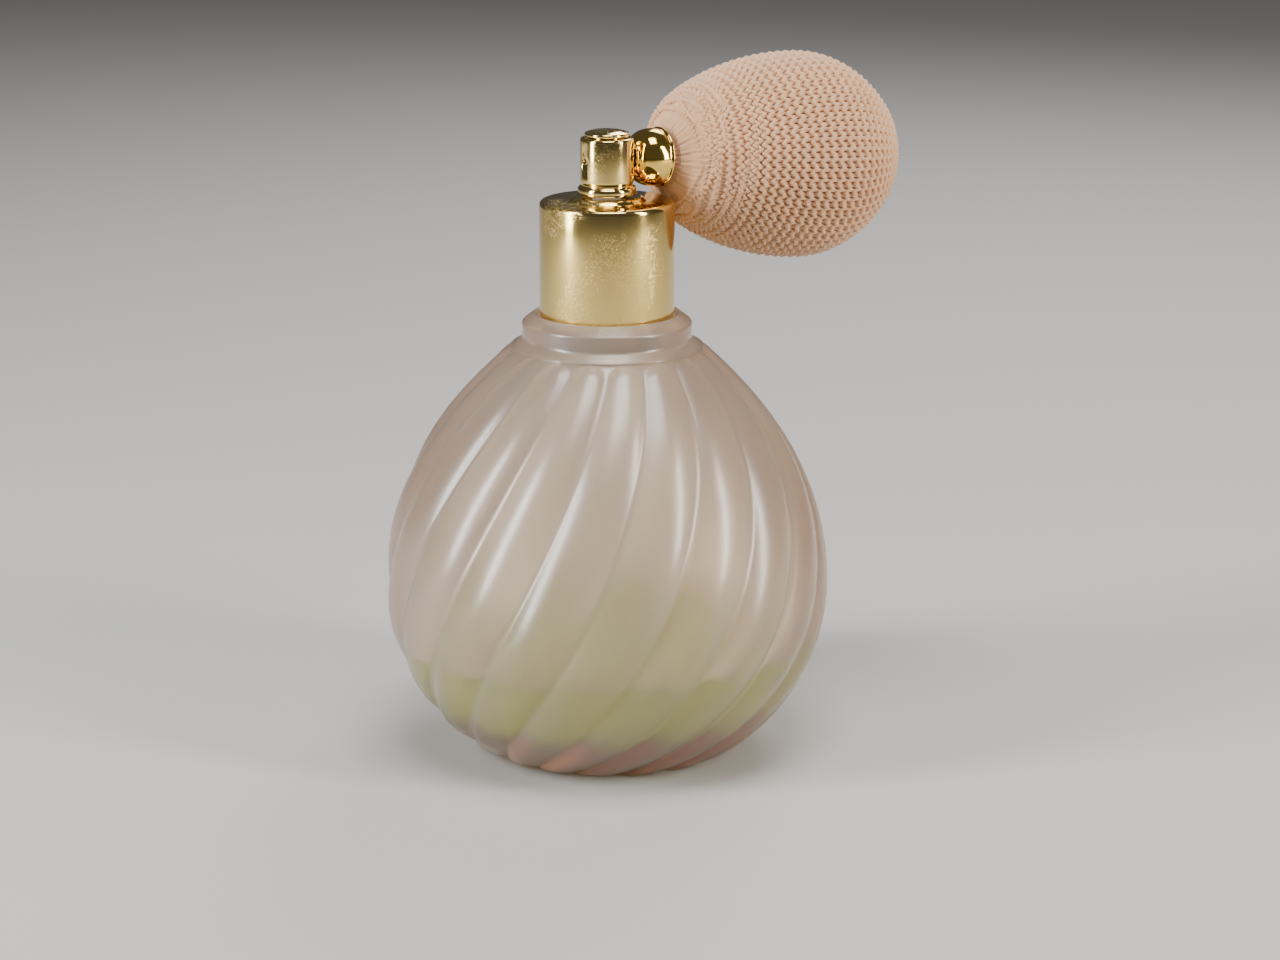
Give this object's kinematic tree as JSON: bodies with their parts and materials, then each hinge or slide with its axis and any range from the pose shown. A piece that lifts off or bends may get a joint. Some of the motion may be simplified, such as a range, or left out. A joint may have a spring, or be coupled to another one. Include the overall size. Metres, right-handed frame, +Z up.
{
  "type": "perfume atomiser",
  "caption": "Ribbed frosted glass perfume bottle with a screw-on metal spray head and a knit-covered rubber squeeze bulb",
  "frame": {"origin": "centre of the flat base of the glass bottle, on the surface that it stands on", "axes": "+Z up the bottle's axis, +X towards the squeeze bulb, -X the way that the spray leaves, right-handed"},
  "size_m": [0.1008, 0.079, 0.1229],
  "materials": {
    "frosted_glass": "acid-frosted pale pink glass with a satin sheen on the ribs",
    "gold_metal": "polished gold-coloured plate, lightly scratched and tarnished",
    "white_plastic": "moulded white plastic",
    "clear_plastic": "extruded translucent tube",
    "seal_rubber": "matt black rubber",
    "bulb_rubber": "dull natural rubber",
    "knit_cover": "knitted peach-beige cotton with open stitches",
    "binding_thread": "wound cotton thread",
    "steel": "turned bright metal"
  },
  "bodies": {
    "bottle": {"bottle": "frosted_glass"},
    "gasket": {"bottle_gasket": "seal_rubber"},
    "stopper": {"stem_plug": "white_plastic", "dip_tube": "clear_plastic", "swivel_washer": "white_plastic"},
    "collar": {"screw_cap": "white_plastic", "collar_shell": "gold_metal"},
    "head": {"head_shell": "gold_metal", "head_cap": "gold_metal", "head_core": "white_plastic", "nozzle_insert": "gold_metal", "liquid_jet": "steel", "bulb_nipple": "steel", "bulb_cup": "gold_metal", "neck_binding": "binding_thread", "rubber_bulb": "bulb_rubber", "bulb_net": "knit_cover"},
    "bulb_end": {"intake_valve_body": "gold_metal", "intake_valve_cage": "white_plastic", "net_gather": "binding_thread"},
    "valve_ball": {"intake_valve_ball": "steel"}
  },
  "joints": [
    {"name": "closure_lift", "type": "slide", "parent": "bottle", "child": "gasket", "axis": [0, 0, 1], "range_m": [0, 0.085]},
    {"name": "closure_rise", "type": "slide", "parent": "gasket", "child": "stopper", "axis": [0, 0, 1], "range_m": [0, 0.00635]},
    {"name": "collar_turn", "type": "hinge", "parent": "stopper", "child": "collar", "pos_m": [0, 0, 0.09], "axis": [0, 0, 1], "range_deg": [0, 721]},
    {"name": "head_swivel", "type": "hinge", "parent": "stopper", "child": "head", "pos_m": [0, 0, 0.1], "axis": [0, 0, 1], "continuous": true},
    {"name": "bulb_squeeze", "type": "slide", "parent": "head", "child": "bulb_end", "axis": [-0.9976, 0, 0.0698], "range_m": [0, 0.015], "stiffness_N_per_m": 300, "deforming": ["rubber_bulb", "bulb_net"]},
    {"name": "valve_ball_lift", "type": "slide", "parent": "bulb_end", "child": "valve_ball", "axis": [-0.9976, 0, 0.0698], "range_m": [0, 0.0007]}
  ],
  "couplings": [
    {"joint": "collar_turn", "follows": "closure_rise", "rad_per_m": 1979}
  ]
}
